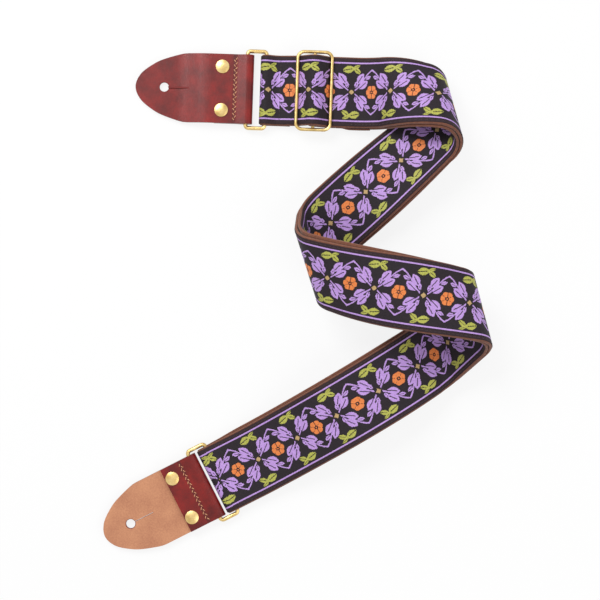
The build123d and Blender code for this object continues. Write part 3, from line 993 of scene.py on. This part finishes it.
# The ribbon is sewn down a little inside its edges, on both plies.
EDGE_INSET, EDGE_PITCH = 1.3, 3.0
seams = []
for side in (-1, 1):
    across = side * (RIBBON_WIDTH / 2 - EDGE_INSET)
    for far, drift in (
        (lambda walked: half_gap(walked) + PLY, front_drift),
        (lambda walked: -half_gap(walked) - PLY, back_drift),
    ):
        seams += seam_on(FINE, across, far, EDGE_PITCH, 5.0, TOTAL - 3, drift)
edge_seams = stitches("ribbon_edge_stitches", seams, 2.3, 0.16, DARK_THREAD)
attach(edge_seams, "strap")


# Leather ends --------------------------------------------------------------------------------

TIP_X, FLAP_X = FOLD - END_LENGTH, FOLD - FLAP_LENGTH
SEAM_X = FOLD - THREAD_FROM_FOLD
TIP_REACH = 36.0


def tip_widths():
    """Half widths of the long rounded tip, by distance from its end, on a smooth curve."""
    half = END_WIDTH / 2
    points = [(60.0, half), (48.0, half), (TIP_REACH, half), (29.0, 22.8), (17.6, 18.9)]
    points += [(10.2, 14.6), (4.4, 9.9), (1.2, 5.0), (0.0, 0.0)]
    points += [(x, -y) for x, y in reversed(points[:-1])]
    dense = []
    for a, b, c, d in zip(points, points[1:], points[2:], points[3:]):
        for index in range(12):
            t = index / 12
            values = []
            for p, q, r, s in zip(a, b, c, d):
                slope_in, slope_out = (r - p) / 2, (s - q) / 2
                values.append(
                    q
                    + slope_in * t
                    + (3 * (r - q) - 2 * slope_in - slope_out) * t**2
                    + (2 * (q - r) + slope_in + slope_out) * t**3
                )
            dense.append(values)
    return [(x, y) for x, y in dense if y >= 0]


TIP_WIDTHS = tip_widths()


def half_width(reach):
    """Half width of a leather end at a distance from its tip."""
    if reach >= TIP_REACH:
        return END_WIDTH / 2
    for (x1, y1), (x0, y0) in zip(TIP_WIDTHS, TIP_WIDTHS[1:]):
        if x0 <= reach <= x1:
            return y0 + (y1 - y0) * (reach - x0) / max(x1 - x0, 1e-9)
    return 0.0


def end_pegs(drop):
    """Line of the leather from the tip, round the ring's bar and back as the short flap."""
    bar, gap, step = WIRE_RADIUS + FIT + LEATHER / 2, LEATHER / 2 + LAP_CLEAR, 30.0
    pegs = [(TIP_X, gap - drop, 0.0)]
    if drop > 0:
        pegs.append((FLAP_X - 26.0, gap - drop + step, -step))
        pegs.append((FLAP_X - 4.0, gap - step, step))
    pegs += [(-7.0, gap + 5.0, -5.0), (0.0, 0.0, bar), (LEATHER_SLACK, 0.0, bar)]
    return pegs + [(0.0, 0.0, bar), (-7.0, -gap - 5.0, -5.0), (FLAP_X, -gap, 0.0)]


def button_hole_cutters(place, frame_matrix):
    """Hole and slit with softened rims, standing through the tip."""
    shape = bmesh.new()
    half, corners = LEATHER / 2, 48
    profile = [(-half - 1, 1.3), (-half, 0.35), (-half + 0.35, 0.0)]
    profile += [(-z, r) for z, r in reversed(profile)]
    rings = []
    for z, wider in profile:
        ring = []
        for index in range(corners):
            angle = math.tau * index / corners
            radius = HOLE_RADIUS + wider
            x, y = radius * math.cos(angle), radius * math.sin(angle)
            ring.append(shape.verts.new((x, y, z)))
        rings.append(ring)
    for lower, upper in zip(rings, rings[1:]):
        for index in range(len(lower)):
            after = (index + 1) % len(lower)
            shape.faces.new((lower[index], lower[after], upper[after], upper[index]))
    shape.faces.new(rings[0][::-1])
    shape.faces.new(rings[-1])
    hole = bpy.data.meshes.new("button hole")
    shape.to_mesh(hole)
    shape.free()
    slit = bmesh.new()
    section = [(0.55, half + 1), (0.2, half - 0.05), (0.14, half - 0.4)]
    section += [(y, -z) for y, z in reversed(section)]
    section += [(-y, z) for y, z in reversed(section)]
    ends = []
    for x in (HOLE_RADIUS - 0.4, HOLE_RADIUS + SLIT_LENGTH):
        ends.append([slit.verts.new((x, y, z)) for y, z in section])
    for index in range(len(section)):
        after = (index + 1) % len(section)
        slit.faces.new((ends[0][index], ends[0][after], ends[1][after], ends[1][index]))
    slit.faces.new(ends[0][::-1])
    slit.faces.new(ends[1])
    bmesh.ops.recalc_face_normals(slit, faces=slit.faces)
    cut = bpy.data.meshes.new("button slit")
    slit.to_mesh(cut)
    slit.free()
    cutters = []
    for mesh in (hole, cut):
        mesh.transform(Matrix.Translation(place))
        mesh.transform(frame_matrix)
        mesh.transform(Matrix.Translation(SHIFT))
        mesh.transform(Matrix.Scale(MM, 4))
        cutters.append(add_object(mesh.name, mesh))
    return cutters


def leather_end(name, matrix, drop, materials):
    """Leather end in the frame of its ring's bar: grain on the outside, flesh inside."""
    stops = pulled_line(end_pegs(drop), matrix, 1.6)
    # The first millimetres of the tip need closer rows, because its outline turns there.
    first = stops[0]
    fine = [
        Stop(first.place + first.along * reach, first.along, first.out, 0.0, reach)
        for reach in (0.02, 0.1, 0.25, 0.5, 0.85, 1.3)
    ]
    stops = fine + [stop for stop in stops if stop.walked > 1.5]
    columns = 40
    verts, coordinates = [], []
    for stop in stops:
        half = half_width(stop.walked)
        for column in range(columns + 1):
            across = half * math.sin(math.pi / 2 * (2 * column / columns - 1))
            verts.append((stop.point(across, 0.0) + SHIFT) * MM)
            coordinates.append((across * MM, stop.walked * MM))
    faces = []
    size = columns + 1
    for row in range(len(stops) - 1):
        for column in range(columns):
            a = row * size + column
            faces.append((a, a + size, a + size + 1, a + 1))
    mesh = bpy.data.meshes.new(name)
    mesh.from_pydata(verts, [], faces)
    layer = mesh.uv_layers.new(name="UVMap")
    for loop in mesh.loops:
        layer.data[loop.index].uv = coordinates[loop.vertex_index]
    piece = add_object(name, mesh)
    for material in materials:
        mesh.materials.append(material)
    thick = piece.modifiers.new("Thickness", "SOLIDIFY")
    thick.thickness = LEATHER * MM
    thick.offset = 0.0
    thick.use_even_offset = True
    thick.material_offset = 1
    thick.material_offset_rim = 2
    round_edge = piece.modifiers.new("Edge", "BEVEL")
    round_edge.width = 0.55 * MM
    round_edge.segments = 3
    round_edge.limit_method = "ANGLE"
    round_edge.angle_limit = math.radians(50)
    round_edge.material = 2
    place = Vector((TIP_X + HOLE_FROM_TIP, 0, LEATHER / 2 + LAP_CLEAR - drop))
    cutters = button_hole_cutters(place, matrix)
    for cutter in cutters:
        hole = piece.modifiers.new("Hole", "BOOLEAN")
        hole.object = cutter
        hole.solver = "EXACT"
        hole.operation = "DIFFERENCE"
    settle(name, piece)
    for cutter in cutters:
        bpy.data.objects.remove(cutter)
    piece.data.shade_smooth()
    piece.data.set_sharp_from_angle(angle=math.radians(40))
    return piece


def seam_lengths(drop):
    """Lengths from the tip along the leather at which it is sewn, above and below the bar."""
    found = []
    stops = pulled_line(end_pegs(drop), Matrix.Identity(4), 0.5)
    for a, b in zip(stops, stops[1:]):
        if (a.place.x - SEAM_X) * (b.place.x - SEAM_X) <= 0 and a.place.x != b.place.x:
            found.append(a.walked)
    return found


EDGE = burnished_edge()
FLESH = flesh_leather()
half_turn = Matrix.Rotation(math.pi, 4, "Y")
# End A's tip has dropped to the floor; end B lies flat, with its back up.
END_FRAMES = {
    "a": (RUN @ Matrix.Translation((RING_A_X - RING_SHORT, 0, RING_Z)), TIP_DROP),
    "b": (TAIL @ Matrix.Translation((RING_SHORT - LOOP_SLACK, 0, 0)) @ half_turn, 0.0),
}
for letter, (matrix, drop) in END_FRAMES.items():
    grain = grain_leather(seam_lengths(drop))
    leather = leather_end("leather_end_" + letter, matrix, drop, (grain, FLESH, EDGE))
    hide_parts("leather_" + letter)
    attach(leather, "end_" + letter)
    # Zigzag of waxed thread across the lapped leather, on both of its faces.
    turned = matrix.to_3x3()
    rows = []
    count = int((END_WIDTH - 3.0) / STITCH_PITCH)
    for index in range(count):
        across = (index - (count - 1) / 2) * STITCH_PITCH
        for side in (-1, 1):
            for lean in (-1, 1):
                spot = (SEAM_X + 0.62 * lean, across + lean * STITCH_PITCH / 4)
                place = matrix @ Vector((*spot, side * (LEATHER + 0.1)))
                rows.append((place, turned @ Vector((0.75, lean, 0)).normalized()))
    thread = stitches("saddle_stitches_" + letter, rows, 2.2, 0.34, TAN_THREAD)
    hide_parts("thread_" + letter)
    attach(thread, "end_" + letter)

# Brass fittings keep the part's own shapes.
BRASS = brass()
for name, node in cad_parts.items():
    if name.startswith(("ring_", "slider_frame", "slider_bar", "rivet_")):
        node.data.materials.clear()
        node.data.materials.append(BRASS)

# Two rows of stitches across the strap hold the loop of webbing round ring A.
ROW_STITCHES, ROW_PITCH, THREAD_LIFT = 15, 2.9, 0.05
rows = []
for x in (-14.0, -11.5):
    for index in range(ROW_STITCHES):
        across = (index - ROW_STITCHES // 2) * ROW_PITCH
        height = BACK_Z + PLY + TAIL_GAP + PLY / 2 + THREAD_LIFT
        rows.append((RUN @ Vector((x, across, height)), RUN.to_3x3() @ Vector((0, 1, 0))))
tail_seam = stitches("loop_stitches", rows, 2.2, 0.2, DARK_THREAD)
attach(tail_seam, "strap")

# Floor, light and camera ---------------------------------------------------------------------


def floor_material():
    """Plain white paper: the camera and the brass see it white, and it keeps soft shadows."""
    material = bpy.data.materials.new("white paper")
    material.use_nodes = True
    tree = material.node_tree
    tree.nodes.clear()
    seen = put(tree, "ShaderNodeLightPath").node.outputs
    shown = put(
        tree,
        "ShaderNodeMath",
        {0: seen["Is Camera Ray"], 1: seen["Is Glossy Ray"]},
        operation="MAXIMUM",
    )
    shown = put(
        tree, "ShaderNodeMath", {0: shown, 1: seen["Is Transmission Ray"]}, operation="MAXIMUM"
    )
    share = put(tree, "ShaderNodeMath", {0: shown, 1: 0.85}, operation="MULTIPLY")
    paper = put(
        tree, "ShaderNodeBsdfDiffuse", {"Color": colour("#f4f4f4"), "Roughness": 0.5}
    )
    glow = put(tree, "ShaderNodeEmission", {"Color": (1, 1, 1, 1), "Strength": 1.0})
    both = put(tree, "ShaderNodeMixShader", {0: share, 1: paper, 2: glow})
    put(tree, "ShaderNodeOutputMaterial", {"Surface": both})
    return material


# The floor lies a hair below the strap.
FLOOR_REACH, FLOOR_Z = 1.5, -0.0002
corners = [(-1, -1), (1, -1), (1, 1), (-1, 1)]
floor_mesh = bpy.data.meshes.new("floor")
floor_mesh.from_pydata(
    [(x * FLOOR_REACH, y * FLOOR_REACH, FLOOR_Z) for x, y in corners], [], [(0, 1, 2, 3)]
)
floor_mesh.materials.append(floor_material())
floor = add_object("floor", floor_mesh)

world = bpy.data.worlds.new("studio")
bpy.context.scene.world = world
world.use_nodes = True
sky = world.node_tree
sky.nodes.clear()
seen = put(sky, "ShaderNodeLightPath").node.outputs
shown = put(
    sky, "ShaderNodeMath", {0: seen["Is Camera Ray"], 1: seen["Is Glossy Ray"]}, operation="MAXIMUM"
)
shown = put(
    sky, "ShaderNodeMath", {0: shown, 1: seen["Is Transmission Ray"]}, operation="MAXIMUM"
)
level = put(sky, "ShaderNodeMapRange", {0: shown, 1: 0.0, 2: 1.0, 3: 0.5, 4: 1.0})
glow = put(sky, "ShaderNodeBackground", {"Color": (1, 1, 1, 1), "Strength": level})
put(sky, "ShaderNodeOutputWorld", {"Surface": glow})


def softbox(name, place, size, power):
    """Square soft lamp that looks at the middle of the strap."""
    lamp = bpy.data.lights.new(name, "AREA")
    lamp.shape = "SQUARE"
    lamp.size = size
    lamp.energy = power
    stand = bpy.data.objects.new(name, lamp)
    bpy.context.scene.collection.objects.link(stand)
    stand.location = place
    aim = Vector((0, 0, 0.02)) - Vector(place)
    stand.rotation_euler = aim.to_track_quat("-Z", "Y").to_euler()


softbox("key", (-0.55, 0.75, 1.1), 0.7, 13.0)
softbox("fill", (0.8, -0.5, 0.9), 0.9, 5.0)

# The camera looks straight down and sees a square of the floor.
CAMERA_HEIGHT, FLOOR_SEEN = 1.1, 0.4237
camera = bpy.data.objects.new("camera", bpy.data.cameras.new("camera"))
bpy.context.scene.collection.objects.link(camera)
bpy.context.scene.camera = camera
camera.location = (SHIFT.x * MM, SHIFT.y * MM, CAMERA_HEIGHT)
camera.data.angle = 2 * math.atan(FLOOR_SEEN / 2 / CAMERA_HEIGHT)

bpy.context.scene.view_settings.view_transform = "Standard"
